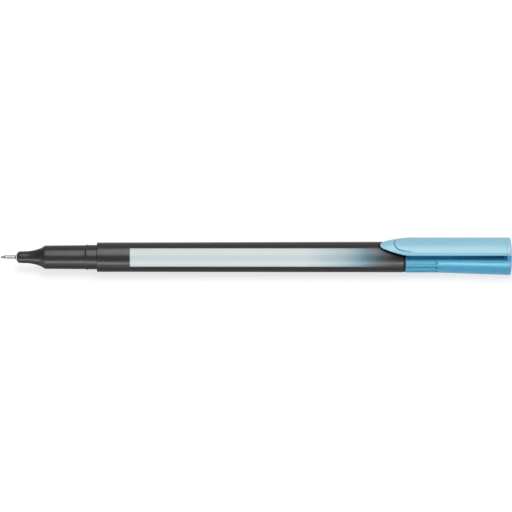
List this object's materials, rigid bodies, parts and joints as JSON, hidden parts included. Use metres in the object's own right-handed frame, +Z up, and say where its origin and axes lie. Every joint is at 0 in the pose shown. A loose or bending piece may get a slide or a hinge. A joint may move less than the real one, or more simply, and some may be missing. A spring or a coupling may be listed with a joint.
{
  "type": "fineliner pen",
  "caption": "Slim fineliner pen: fibre nib in a steel pipe, black section and barrel with a pale panel, and a light blue clip cap posted on the tail.",
  "frame": {"origin": "on the ground under the middle of the posted pen, which lies along X on the rim of its cap", "axes": "+X from the nib's point to the crown of the cap, +Z up through the middle of the clip"},
  "size_m": [0.1456, 0.0103, 0.0108],
  "materials": {
    "nib_fibre": "fine bonded fibre, inked",
    "steel": "drawn tube",
    "pale_plastic": "natural, matt",
    "black_plastic": "satin gloss, moulded",
    "black_plastic_printed": "satin gloss with a pale printed panel that fades out towards the cap",
    "ink_felt": "fibre soaked with blue ink",
    "clear_film": "thin film",
    "blue_plastic": "clear blue, glossy",
    "pale_blue_plastic": "light blue, satin gloss"
  },
  "bodies": {
    "pen": {"nib": "nib_fibre", "nib_pipe": "steel", "nib_holder": "pale_plastic", "section": "black_plastic", "relay_wick": "ink_felt", "reservoir_core": "ink_felt", "reservoir_wrap": "clear_film", "barrel": "black_plastic_printed", "tail_plug": "black_plastic"},
    "cap": {"cap_tube": "blue_plastic", "inner_cap": "pale_plastic", "cap_crown": "pale_blue_plastic"},
    "clip": {"clip": "pale_blue_plastic"}
  },
  "joints": [
    {"name": "cap_slide", "type": "slide", "parent": "pen", "child": "cap", "axis": [1, 0, 0], "range_m": [0, 0.025]},
    {"name": "clip_flex", "type": "hinge", "parent": "cap", "child": "clip", "pos_m": [0.07159, 0, 0.0102], "axis": [0, 1, 0], "range_deg": [0, 3], "stiffness_Nm_per_rad": 0.8}
  ]
}
